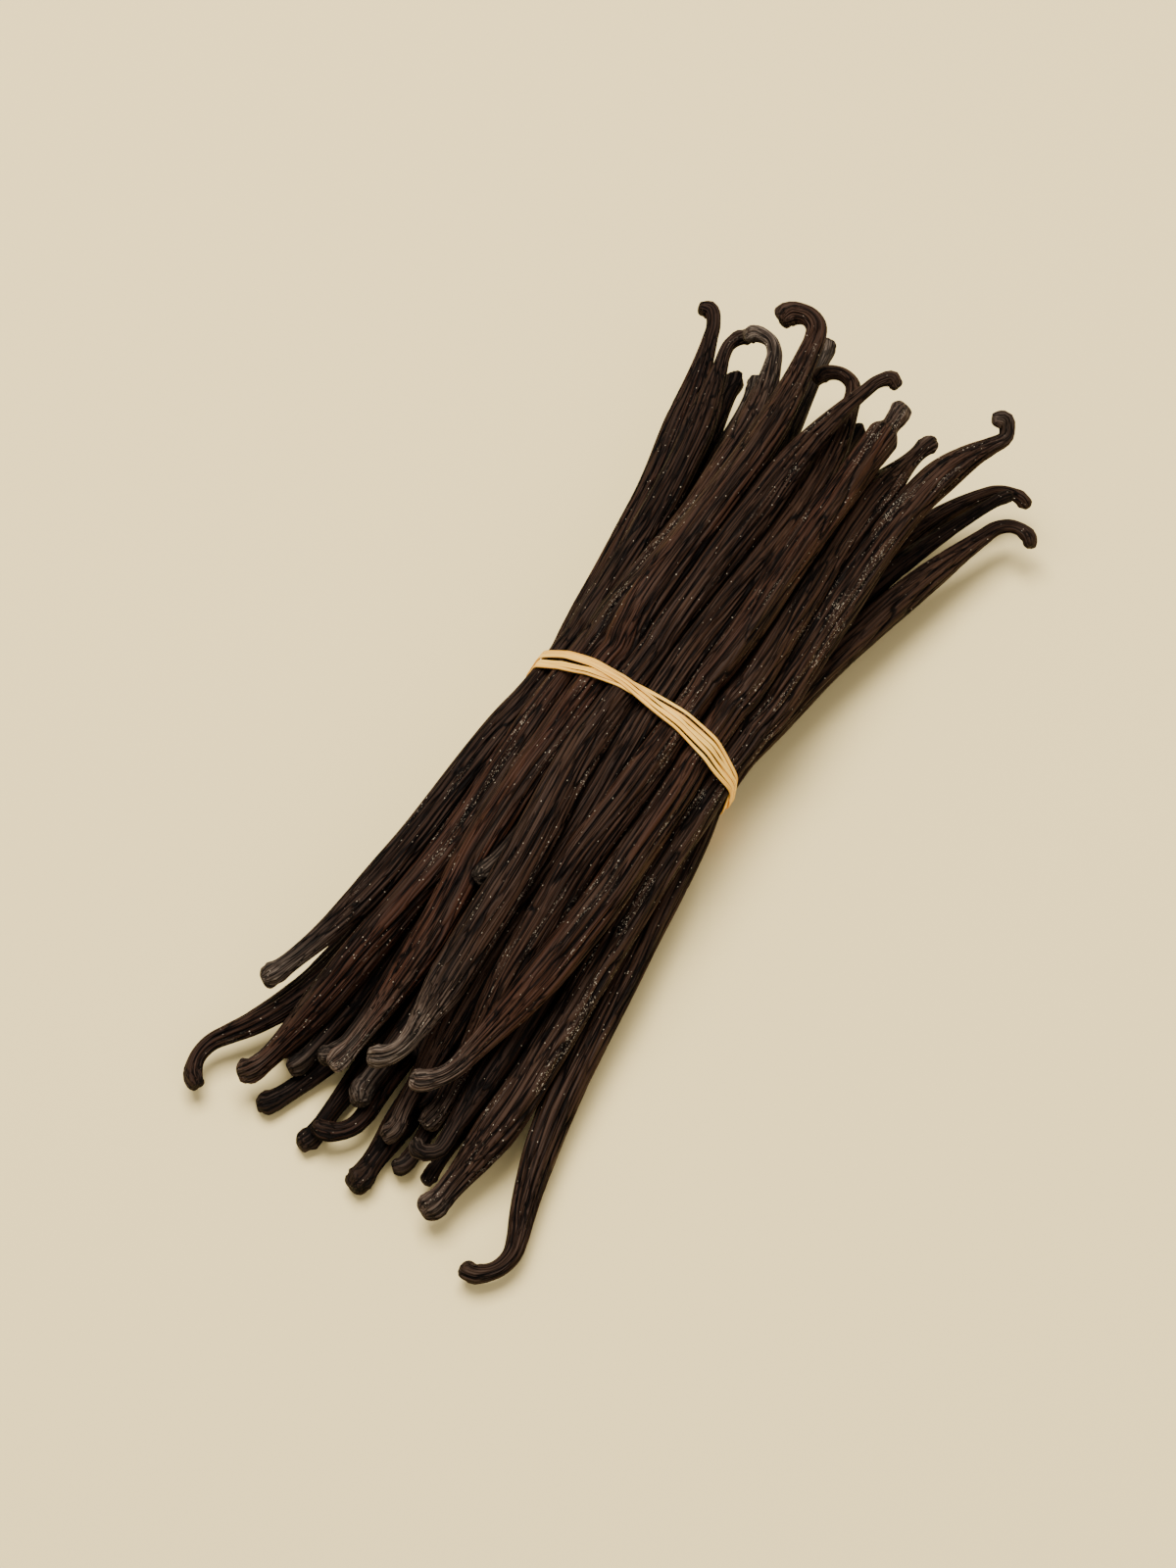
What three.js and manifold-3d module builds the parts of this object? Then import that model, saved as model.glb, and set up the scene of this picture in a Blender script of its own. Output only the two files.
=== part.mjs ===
// A bundle of cured vanilla pods lying on a table, tied round the middle with a raffia strip.
// Millimetres, +Z up. +Y runs along the bundle to the stalk ends of its pods and X across it.
// The shape is worked out with the pods' waist at x = 0, y = 0 and the table at z = 0. At the end
// the group is shifted so that the origin is the middle of the underside of the whole bundle.
import * as THREE from "three";
import { ConvexGeometry } from "three/addons/geometries/ConvexGeometry.js";
import { mergeVertices } from "three/addons/utils/BufferGeometryUtils.js";
import Module from "manifold-3d";

// Driving dimensions.
const WAIST = { halfWidth: 22.4, halfHeight: 14.2 }; // the pods' oval section inside the tie
const TIE = {
  thickness: 0.9,
  strandWidth: 1.9,
  gap: 0.45, // from the pods' oval to the strands
  sink: 0.1, // how much of the strands' underside is flattened by the table
  spread: 1.1, // how far the two strands part from each other's line
  along: -2.2, // the loop's place along the bundle, from the pods' waist
  slant: -0.08, // the loop leans this much along the bundle across its width
  steps: 40,
};
const WAIST_MIDDLE = WAIST.halfHeight + TIE.gap + TIE.thickness - TIE.sink; // its height above the table
const POD = { waistRadius: 2.8, squeeze: 0.9, squeezeReach: 16, leastRadius: 1.2 };
const TIP = { knobOverNeck: 1.2, knobLength: 2.6, neckAt: 6 };
const PATH = { nodes: 60, curlSteps: 16, sweepSteps: 40, tighten: 0.3 };
const SETTLE = { passes: 160, push: 0.45, near: 7, tieReach: 9, keep: 0.996 };
const CORE = { reach: 52, slabs: 16, lap: 2.6, share: 0.87 };
const MESH = {
  outerSides: 6,
  innerSides: 5,
  curlStep: 3,
  taperStations: [15],
  waistStations: [-34, -14, -4.5, 4.5, 14, 34],
};

const radians = (degrees) => (degrees * Math.PI) / 180;

// One end of a pod: the point where its curl starts, how it turns sideways (+ to +X) and climbs there, away
// from the straight line out of the tie, the length of its taper, the radius of its neck, and the curl's
// sweep, radius and roll (0 to +X, 90 up, 180 to -X).
const end = (x, y, z, turn, climb, taper, neck, sweep, radius, roll) => ({
  at: new THREE.Vector3(x, y, z),
  turn: radians(turn),
  climb: radians(climb),
  taper,
  neck,
  sweep: radians(sweep),
  radius,
  roll: radians(roll),
});

// Pods in the order in which they stand round the tie, from the left side over the top: the thickness of each,
// its stalk end and its blossom end.
const OUTER = [
  [5.8, end(-34.2, 87, 22, -10, 5, 32, 1.4, 115, 3.6, 180), end(-30.6, -87.8, 5, -34, 0, 30, 1.5, 110, 7.6, 0)],
  [5.8, end(-28.4, 79.8, 23, -8, 6, 30, 1.25, 95, 5.8, 0), end(-26.3, -75.4, 14, -14, -2, 32, 1.7, 20, 14, 180)],
  [6.3, end(-16.4, 79.4, 30, -20, 4, 30, 1.45, 140, 4.8, 180), end(-20.8, -88.2, 6, -10, 0, 22, 1.9, 40, 10, 180)],
  [6.5, end(-11.2, 84.2, 33, -8, 5, 36, 1.8, 175, 4.6, 180), end(-9, -80, 10, -8, -2, 30, 1.6, 20, 20, 180)],
  [7.0, end(3.4, 83, 31, 16, 2, 42, 1.3, 135, 2.7, -20), end(1.1, -76.4, 17, -2, 0, 22, 1.6, 80, 7.5, 180)],
  [5.8, end(-1.0, 82, 25, -10, 8, 28, 1.3, 185, 4.6, 180), end(7, -87, 5, 4, -2, 30, 1.5, 60, 4, 180)],
  [6.8, end(9.6, 78.6, 27, 0, 0, 9.5, 1.8, 25, 12, 60), end(9, -80, 6, 0, 0, 30, 1.7, 30, 12, 180)],
  [6.5, end(16, 82, 19, 6, -2, 20, 1.5, 25, 10, 0), end(8.9, -74.8, 13, -6, -2, 32, 1.7, 75, 8.5, 180)],
  [6.9, end(26.8, 88, 23, 34, 6, 24, 1.4, 200, 2.8, 150), end(17, -95, 4, -8, 0, 22, 2.0, 30, 8, 180)],
  [6.3, end(32.5, 79, 9, 10, 2, 40, 1.35, 140, 5.2, -10), end(32.3, -93.8, 4, 16, 0, 32, 1.55, 125, 7, 180)],
  [5.8, end(27.4, 86.8, 9, 28, 0, 42, 1.2, 90, 7.5, -20), end(20.5, -63, 7, 0, 0, 26, 1.4, 20, 12, 180)],
  [5.4, end(17, 62, 3, 4, 0, 30, 1.4, 20, 16, 0), end(13, -90.4, 3, -2, 0, 40, 1.1, 15, 12, 0)],
  [5.2, end(9, 59, 3, 0, 0, 30, 1.4, 20, 16, 180), end(13, -76, 3, 0, 0, 30, 1.5, 20, 10, 180)],
  [5.6, end(1, 62, 3, 0, 0, 30, 1.4, 20, 16, 0), end(5.1, -96.8, 3, -6, 0, 16, 2.1, 25, 8, 180)],
  [5.3, end(-8, 60, 3, -4, 0, 30, 1.5, 20, 16, 180), end(-7.8, -93, 3, 2, 0, 26, 1.7, 40, 8, 180)],
  [5.4, end(-15, 64, 3, -4, 0, 30, 1.5, 25, 16, 180), end(-16, -91.6, 3, -24, 0, 26, 1.7, 30, 10, 180)],
  [5.3, end(-21, 78, 6, -4, 2, 28, 1.4, 20, 12, 90), end(-20, -80, 4, -10, 0, 26, 1.6, 30, 12, 180)],
];
const MIDDLE = [
  [5.5, end(-26.4, 81.6, 14, -2, 0, 24, 1.7, 15, 12, 180), end(-15, -84, 6, -10, 0, 26, 1.6, 30, 10, 180)],
  [5.4, end(-22.6, 82.4, 15, -6, 3, 26, 1.25, 15, 12, 180), end(-10, -79, 7, -10, 0, 26, 1.5, 60, 7, 150)],
  [5.2, end(-12.4, 92.2, 20, -6, 2, 34, 1.4, 25, 12, 180), end(-5, -44, 22, -8, 3, 24, 1.5, 25, 9, 90)],
  [5.3, end(-3, 64, 17, 0, 0, 30, 1.4, 10, 16, 0), end(-3, -84, 8, -4, 0, 28, 1.8, 60, 5, 20)],
  [5.4, end(1.3, 80.4, 17, 0, 2, 18, 1.4, 20, 8, 90), end(13, -87, 8.5, 0, 2, 26, 1.4, 170, 2.9, 170)],
  [5.2, end(9, 63, 12, 0, 0, 30, 1.4, 10, 16, 0), end(7, -80, 7, 0, 0, 30, 1.6, 30, 8, 180)],
  [5.0, end(30, 84.6, 10, 12, 4, 46, 1.1, 25, 12, 0), end(17, -80, 6, -4, 0, 30, 1.6, 20, 10, 180)],
  [5.3, end(18, 64, 9, 2, 0, 30, 1.4, 10, 16, 0), end(13, -80, 6, -3, 0, 30, 1.5, 20, 12, 0)],
  [5.4, end(9, 61, 8, 0, 0, 30, 1.4, 10, 16, 0), end(8, -89.4, 3.4, -6, 0, 24, 1.5, 60, 5, 180)],
  [5.3, end(0, 63, 8, 0, 0, 30, 1.4, 10, 16, 180), end(-2.6, -87, 4, 4, 0, 30, 1.5, 110, 7, 180)],
  [5.5, end(-12, 61, 8, -2, 0, 30, 1.4, 10, 16, 180), end(-12, -80, 5, -8, 0, 26, 1.6, 15, 12, 180)],
];
const INNER = [
  [5.4, end(-12, 64, 13, -4, 0, 30, 1.4, 10, 16, 180), end(-9, -74, 7, -6, 0, 30, 1.5, 20, 12, 180)],
  [5.5, end(3, 62, 14, 0, 0, 30, 1.5, 10, 16, 0), end(1, -72, 9, 0, 0, 30, 1.6, 20, 12, 0)],
  [5.4, end(13, 62, 13, 2, 0, 30, 1.4, 10, 16, 0), end(12, -58, 10, 2, 0, 30, 1.5, 20, 12, 0)],
];

// Even places round an oval, by arc length, from its left side over the top.
function roundOval(halfWidth, halfHeight, count) {
  const oval = new THREE.EllipseCurve(0, WAIST_MIDDLE, halfWidth, halfHeight, Math.PI, -Math.PI, true);
  oval.arcLengthDivisions = 720;
  return Array.from({ length: count }, (_, k) => {
    const point = oval.getPointAt(k / count);
    return new THREE.Vector3(point.x, 0, point.y);
  });
}

// The oval rings in which the pods stand at the waist, each one pod further in.
function waistPlaces() {
  const ring = (depth, count) => {
    const inset = (2 * depth + 1) * POD.waistRadius;
    return roundOval(WAIST.halfWidth - inset, WAIST.halfHeight - inset, count);
  };
  const spacing = 2.2 * POD.waistRadius;
  const row = INNER.map((_, k) => new THREE.Vector3((k - (INNER.length - 1) / 2) * spacing, 0, WAIST_MIDDLE));
  return [...ring(0, OUTER.length), ...ring(1, MIDDLE.length), ...row];
}

// The half of a pod's centre line from the waist out: a Hermite curve to the end's point, then its curl.
function halfPath(waist, along, tip) {
  const side = Math.sign(tip.at.y);
  const chord = tip.at.clone().sub(waist);
  const yaw = Math.atan2(chord.x, Math.abs(chord.y)) + tip.turn;
  const pitch = Math.atan2(chord.z, Math.hypot(chord.x, chord.y)) + tip.climb;
  const flat = new THREE.Vector3(Math.sin(yaw), side * Math.cos(yaw), 0);
  const heading = flat.clone().multiplyScalar(Math.cos(pitch)).setZ(Math.sin(pitch));
  const out = along.clone().multiplyScalar(side);
  const points = [];
  for (let k = 0; k <= PATH.sweepSteps; k++) {
    const t = k / PATH.sweepSteps;
    const pull = chord.length() * t * (1 - t);
    const ease = t * t * (3 - 2 * t);
    const point = waist.clone().addScaledVector(chord, ease);
    point.addScaledVector(out, pull * (1 - t)).addScaledVector(heading, -pull * t);
    points.push(point);
  }
  const across = new THREE.Vector3(Math.cos(yaw), -side * Math.sin(yaw), 0);
  const above = new THREE.Vector3().crossVectors(across, heading).multiplyScalar(side);
  const inward = across.multiplyScalar(Math.cos(tip.roll)).addScaledVector(above, Math.sin(tip.roll));
  const point = tip.at.clone();
  for (let k = 0; k < PATH.curlSteps; k++) {
    const share = (k + 0.5) / PATH.curlSteps;
    const angle = tip.sweep * share;
    const step = (tip.radius * (1 - PATH.tighten * share) * tip.sweep) / PATH.curlSteps;
    point.addScaledVector(heading, Math.cos(angle) * step).addScaledVector(inward, Math.sin(angle) * step);
    points.push(point.clone());
  }
  return points;
}

// A pod's whole centre line, from the blossom end to the stalk end, as evenly spaced nodes.
function podPath(waist, stalk, blossom) {
  const along = stalk.at.clone().sub(blossom.at).normalize();
  const points = [...halfPath(waist, along, blossom).reverse(), ...halfPath(waist, along, stalk).slice(1)];
  const reach = [0];
  for (let k = 1; k < points.length; k++) reach.push(reach[k - 1] + points[k].distanceTo(points[k - 1]));
  const length = reach.at(-1);
  let k = 0;
  const nodes = Array.from({ length: PATH.nodes }, (_, i) => {
    const target = (length * i) / (PATH.nodes - 1);
    while (k < points.length - 2 && reach[k + 1] < target) k++;
    const share = (target - reach[k]) / (reach[k + 1] - reach[k]);
    return points[k].clone().lerp(points[k + 1], share);
  });
  return { nodes, length };
}

const smooth = (t) => {
  const c = Math.min(1, Math.max(0, t));
  return c * c * (3 - 2 * c);
};

// A pod's radius at a distance from one of its tips: a small knob, a neck, then a taper up to the full body.
function radiusAt(fromTip, { taper, neck }, bodyRadius) {
  const knob = neck * TIP.knobOverNeck;
  if (fromTip < TIP.knobLength) {
    return knob * Math.sqrt(Math.max(0, 1 - (1 - fromTip / TIP.knobLength) ** 2));
  }
  if (fromTip < TIP.neckAt) {
    const share = smooth((fromTip - TIP.knobLength) / (TIP.neckAt - TIP.knobLength));
    return knob + (neck - knob) * share;
  }
  const share = smooth((fromTip - TIP.neckAt) / (taper - TIP.neckAt));
  return neck + (bodyRadius - neck) * share;
}

// The tie squeezes the pods where it holds them.
const squeezeAt = (y) => 1 - (1 - POD.squeeze) * smooth(1 - Math.abs(y) / POD.squeezeReach);

// The radius of a pod at a distance along it, at the place y along the bundle.
function podRadius(pod, reach, y) {
  const body = (pod.thickness / 2) * squeezeAt(y);
  const fromBlossom = radiusAt(reach, pod.blossom, body);
  const fromStalk = radiusAt(pod.length - reach, pod.stalk, body);
  return Math.min(fromBlossom, fromStalk);
}

function makePods() {
  const places = waistPlaces();
  return [...OUTER, ...MIDDLE, ...INNER].map(([thickness, stalk, blossom], k) => {
    const { nodes, length } = podPath(places[k], stalk, blossom);
    const pod = { nodes, length, thickness, stalk, blossom };
    pod.radii = nodes.map((node, i) => {
      const reach = (length * i) / (PATH.nodes - 1);
      return Math.max(POD.leastRadius, podRadius(pod, reach, node.y));
    });
    return pod;
  });
}

// Lets the pods settle: where two overlap both give way, none goes below the table or out of the tie, and
// each gives way smoothly along its length, so that its curls keep their shape.
function settle(pods) {
  const flat = pods.flatMap((pod, owner) => pod.nodes.map((node, i) => ({ node, owner, radius: pod.radii[i] })));
  const close = [];
  for (let a = 0; a < flat.length; a++) {
    for (let b = a + 1; b < flat.length; b++) {
      const reach = flat[a].radius + flat[b].radius + SETTLE.near;
      if (flat[a].owner !== flat[b].owner && flat[a].node.distanceTo(flat[b].node) < reach) close.push([a, b]);
    }
  }
  const count = flat.length;
  const start = flat.map(({ node }) => node.clone());
  let shift = flat.map(() => new THREE.Vector3());
  for (let pass = 0; pass < SETTLE.passes; pass++) {
    flat.forEach(({ node }, k) => node.copy(start[k]).add(shift[k]));
    const moved = shift.map((s) => s.clone().multiplyScalar(SETTLE.keep));
    const apart = new THREE.Vector3();
    for (const [a, b] of close) {
      apart.subVectors(flat[a].node, flat[b].node);
      const distance = apart.length();
      const overlap = flat[a].radius + flat[b].radius - distance;
      if (overlap <= 0) continue;
      apart.multiplyScalar((SETTLE.push * overlap) / distance);
      moved[a].add(apart);
      moved[b].sub(apart);
    }
    for (let k = 0; k < count; k++) hold(flat[k], start[k], moved[k]);
    shift = moved.map((own, k) => {
      const before = moved[k % PATH.nodes === 0 ? k : k - 1];
      const after = moved[k % PATH.nodes === PATH.nodes - 1 ? k : k + 1];
      return own.clone().multiplyScalar(2).add(before).add(after).divideScalar(4);
    });
    for (let k = 0; k < count; k++) hold(flat[k], start[k], shift[k]);
  }
  flat.forEach(({ node }, k) => node.copy(start[k]).add(shift[k]));
}

// Keeps one node above the table and, near the middle, inside the tie.
function hold({ radius }, start, shift) {
  shift.z = Math.max(shift.z, radius - start.z);
  const y = start.y + shift.y;
  if (Math.abs(y) > SETTLE.tieReach) return;
  const across = (start.x + shift.x) / (WAIST.halfWidth - radius);
  const up = (start.z + shift.z - WAIST_MIDDLE) / (WAIST.halfHeight - radius);
  const out = Math.hypot(across, up);
  if (out <= 1) return;
  shift.x = (across / out) * (WAIST.halfWidth - radius) - start.x;
  shift.z = WAIST_MIDDLE + (up / out) * (WAIST.halfHeight - radius) - start.z;
}

// Where the rings of a pod's end stand: close together round its curl, further apart along its taper.
function endStations({ sweep, radius }) {
  const curl = sweep * radius;
  const stations = [0, TIP.knobLength / 2, TIP.knobLength];
  while (stations.at(-1) < curl) stations.push(stations.at(-1) + MESH.curlStep);
  const clear = stations.at(-1) + MESH.curlStep;
  return [...stations, ...MESH.taperStations.filter((reach) => reach > clear)];
}

// A straight pod turned on a lathe, its axis along +Y, then bent so that its axis follows the nodes.
function podGeometry(pod, sides) {
  const { length } = pod;
  const curve = new THREE.CatmullRomCurve3(pod.nodes);
  curve.arcLengthDivisions = 400;
  const first = endStations(pod.blossom);
  const last = endStations(pod.stalk).map((reach) => length - reach).reverse();
  const distance = pod.nodes.map((node) => Math.abs(node.y));
  const waist = (length * distance.indexOf(Math.min(...distance))) / (PATH.nodes - 1);
  const middle = MESH.waistStations.map((reach) => waist + reach);
  const kept = middle.filter((reach) => reach > first.at(-1) + 3 && reach < last[0] - 3);
  const stations = [...first, ...kept, ...last];
  const centres = stations.map((reach) => curve.getPointAt(reach / length));
  const profile = stations.map((reach, k) => {
    const radius = reach > 0 && reach < length ? podRadius(pod, reach, centres[k].y) : 0;
    return new THREE.Vector2(radius, reach);
  });
  let across = new THREE.Vector3(0, 0, 1);
  const axes = stations.map((reach) => {
    const tangent = curve.getTangentAt(reach / length);
    across = across.clone().addScaledVector(tangent, -across.dot(tangent)).normalize();
    return [across, new THREE.Vector3().crossVectors(across, tangent)];
  });
  const geometry = new THREE.LatheGeometry(profile, sides);
  const position = geometry.getAttribute("position");
  for (let k = 0; k < position.count; k++) {
    const station = k % stations.length;
    const [up, aside] = axes[station];
    const bent = centres[station].clone();
    bent.addScaledVector(up, position.getX(k)).addScaledVector(aside, position.getZ(k));
    position.setXYZ(k, bent.x, bent.y, bent.z);
  }
  return geometry;
}

// What lies between the pods where they are packed: in each slab across the bundle, a hull a little inside
// the middles of its outer pods.
function coreGeometries(pods) {
  const inset = (node) => new THREE.Vector3(
    node.x * CORE.share,
    node.y,
    WAIST_MIDDLE + (node.z - WAIST_MIDDLE) * CORE.share,
  );
  const nodes = pods.flatMap((pod) => pod.nodes.map(inset));
  const step = (2 * CORE.reach) / CORE.slabs;
  return Array.from({ length: CORE.slabs }, (_, k) => {
    const from = -CORE.reach + k * step - CORE.lap;
    const to = from + step + 2 * CORE.lap;
    return new ConvexGeometry(nodes.filter((node) => node.y > from && node.y < to));
  });
}

// One flat strand of the tie: a closed loop round the pods' oval that swings from side to side of the loop's
// own line, its underside flattened by the table.
function strandGeometry(swing) {
  const halfWidth = WAIST.halfWidth + TIE.gap + TIE.thickness / 2;
  const halfHeight = WAIST.halfHeight + TIE.gap + TIE.thickness / 2;
  const corners = [[-1, -1], [1, -1], [1, 1], [-1, 1]];
  const positions = [];
  const index = [];
  for (let k = 0; k < TIE.steps; k++) {
    const angle = (2 * Math.PI * k) / TIE.steps;
    const x = halfWidth * Math.cos(angle);
    const z = WAIST_MIDDLE + halfHeight * Math.sin(angle);
    const y = TIE.along + TIE.slant * x + swing * Math.sin(2 * angle);
    const out = new THREE.Vector2(Math.cos(angle) / halfWidth, Math.sin(angle) / halfHeight).normalize();
    for (const [side, face] of corners) {
      const rise = (face * TIE.thickness) / 2;
      const edge = (side * TIE.strandWidth) / 2;
      positions.push(x + out.x * rise, y + edge, Math.max(0, z + out.y * rise));
    }
    const here = 4 * k;
    const next = 4 * ((k + 1) % TIE.steps);
    for (let c = 0; c < 4; c++) {
      const d = (c + 1) % 4;
      index.push(here + c, next + c, next + d, here + c, next + d, here + d);
    }
  }
  const geometry = new THREE.BufferGeometry();
  geometry.setAttribute("position", new THREE.Float32BufferAttribute(positions, 3));
  geometry.setIndex(index);
  return geometry;
}

const wasm = await Module();
wasm.setup();

function solidOf(geometry) {
  geometry.deleteAttribute("normal");
  geometry.deleteAttribute("uv");
  const merged = mergeVertices(geometry, 1e-4);
  return new wasm.Manifold(
    new wasm.Mesh({
      numProp: 3,
      vertProperties: new Float32Array(merged.getAttribute("position").array),
      triVerts: new Uint32Array(merged.index.array),
    }),
  );
}

// The union of the given shapes, without the shells of the pockets closed in between them.
function joined(geometries) {
  const whole = wasm.Manifold.union(geometries.map(solidOf));
  const shells = whole.decompose().sort((a, b) => b.volume() - a.volume());
  const mesh = shells[0].getMesh();
  const geometry = new THREE.BufferGeometry();
  geometry.setAttribute("position", new THREE.BufferAttribute(new Float32Array(mesh.vertProperties), 3));
  geometry.setIndex(new THREE.BufferAttribute(new Uint32Array(mesh.triVerts), 1));
  geometry.computeVertexNormals();
  return geometry;
}

const podSkin = new THREE.MeshStandardMaterial({ color: 0x2f201a, roughness: 0.45, metalness: 0 });
const raffia = new THREE.MeshStandardMaterial({ color: 0xdcb986, roughness: 0.7, metalness: 0 });

const allPods = makePods();
settle(allPods);

const sidesOf = (k) => (k < OUTER.length ? MESH.outerSides : MESH.innerSides);
const podShapes = allPods.slice(0, -INNER.length).map((pod, k) => podGeometry(pod, sidesOf(k)));
const pods = new THREE.Mesh(joined([...podShapes, ...coreGeometries(allPods)]), podSkin);
pods.name = "pods";
const tie = new THREE.Mesh(joined([strandGeometry(TIE.spread), strandGeometry(-TIE.spread)]), raffia);
tie.name = "tie";

const group = new THREE.Group();
group.add(pods, tie);
const box = new THREE.Box3().setFromObject(group);
const middle = box.getCenter(new THREE.Vector3()).setZ(box.min.z);
for (const mesh of group.children) mesh.geometry.translate(-middle.x, -middle.y, -middle.z);

export default group;
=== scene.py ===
# %% [markdown]
# # A bundle of vanilla pods
# Cured vanilla pods are long, dark and wrinkled, with a small knob at each end. About thirty of them lie
# side by side here, held round the middle by a raffia tie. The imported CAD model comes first: it is the
# frame whose sizes and place every piece below keeps.
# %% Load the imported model
import math

import bpy
import numpy as np
from mathutils import Matrix, Vector


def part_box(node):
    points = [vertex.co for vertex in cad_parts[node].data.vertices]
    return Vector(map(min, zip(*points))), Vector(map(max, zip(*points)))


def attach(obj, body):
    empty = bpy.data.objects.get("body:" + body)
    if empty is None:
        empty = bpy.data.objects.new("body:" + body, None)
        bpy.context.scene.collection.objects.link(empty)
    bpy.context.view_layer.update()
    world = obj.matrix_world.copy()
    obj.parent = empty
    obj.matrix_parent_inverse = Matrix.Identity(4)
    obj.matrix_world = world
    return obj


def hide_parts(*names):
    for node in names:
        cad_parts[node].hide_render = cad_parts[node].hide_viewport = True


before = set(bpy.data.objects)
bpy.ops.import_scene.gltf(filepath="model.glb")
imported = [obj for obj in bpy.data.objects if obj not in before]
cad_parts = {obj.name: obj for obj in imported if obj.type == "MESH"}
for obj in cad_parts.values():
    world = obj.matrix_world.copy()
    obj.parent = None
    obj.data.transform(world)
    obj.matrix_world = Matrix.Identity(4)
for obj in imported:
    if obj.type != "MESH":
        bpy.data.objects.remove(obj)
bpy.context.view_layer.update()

# %% [markdown]
# The shapes are worked out in millimetres with the pods' waist at x = 0, y = 0 and the table at z = 0, as a
# packer would lay the pods out. +Y runs along the bundle to the stalk ends. The tie sits 2.2 mm to the
# blossom side of the waist, and its own box says where in the frame that is.
# %% Where the tie is
TIE_ALONG = -2.2
tie_low, tie_high = (np.array(corner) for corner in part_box("tie"))
WAIST_AT = (tie_low + tie_high) / 2 * [1, 1, 0] - [0, TIE_ALONG * 0.001, 0]


def in_frame(points):
    """Millimetres from the waist, made metres in the model's frame: x / 1000 + the waist's place."""
    return np.asarray(points) * 0.001 + WAIST_AT


print("the waist:", WAIST_AT.round(5))

# %% [markdown]
# ## Camera
# The bundle is seen from above its blossom ends and a little from the right, from about half a metre, with
# a lens somewhat longer than a normal one. The three directions of the camera make a matrix.
# %% The camera
LOOK = {"azimuth": 31.4, "down": 56.0, "distance": 555.0, "lens": 70.0, "aim": (0, 0, 13)}
ASIDE, BELOW = 8.92, 9.28


def add_camera(look):
    """Looks down along f = (-sin a cos d, cos a cos d, -sin d). The camera stands ASIDE mm to the left of the
    aim and BELOW mm under it, as it sees them, so that the bundle lies a little off the middle."""
    a, d = math.radians(look["azimuth"]), math.radians(look["down"])
    right = np.array([math.cos(a), math.sin(a), 0])
    forward = np.array([-math.sin(a) * math.cos(d), math.cos(a) * math.cos(d), -math.sin(d)])
    up = np.cross(right, forward)
    place = np.array(look["aim"]) - right * ASIDE - up * BELOW - forward * look["distance"]
    data = bpy.data.cameras.new("camera")
    data.lens = look["lens"]
    data.sensor_width = 36
    data.clip_start = 0.01
    camera = bpy.data.objects.new("camera", data)
    turn = Matrix(np.column_stack([right, up, -forward]).tolist()).to_4x4()
    camera.matrix_world = Matrix.Translation(Vector(in_frame(place))) @ turn
    bpy.context.scene.collection.objects.link(camera)
    bpy.context.scene.camera = camera
    return camera


camera = add_camera(LOOK)
print("camera at", [round(v, 3) for v in camera.location])

# %% [markdown]
# ## The table of pods
# Each pod is given by its thickness and its two ends. An end says where its curl starts, how it turns and
# climbs there away from the straight line out of the tie, how long its taper is, how thick its neck is, and
# how its curl sweeps. The order is the order round the tie, from the left side over the top and back below.
# A row holds the pod's thickness, its stalk end and its blossom end, and an end holds the numbers that the
# function takes, in millimetres and degrees.
# %% The pods
def end(x, y, z, turn, climb, taper, neck, sweep, radius, roll):
    """One end of a pod, its angles made radians. A curl rolls to +X at 0 degrees, up at 90, to -X at 180."""
    angles = dict(turn=turn, climb=climb, sweep=sweep, roll=roll)
    angles = {name: math.radians(value) for name, value in angles.items()}
    return dict(at=np.array([x, y, z], float), taper=taper, neck=neck, radius=radius, **angles)


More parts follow.
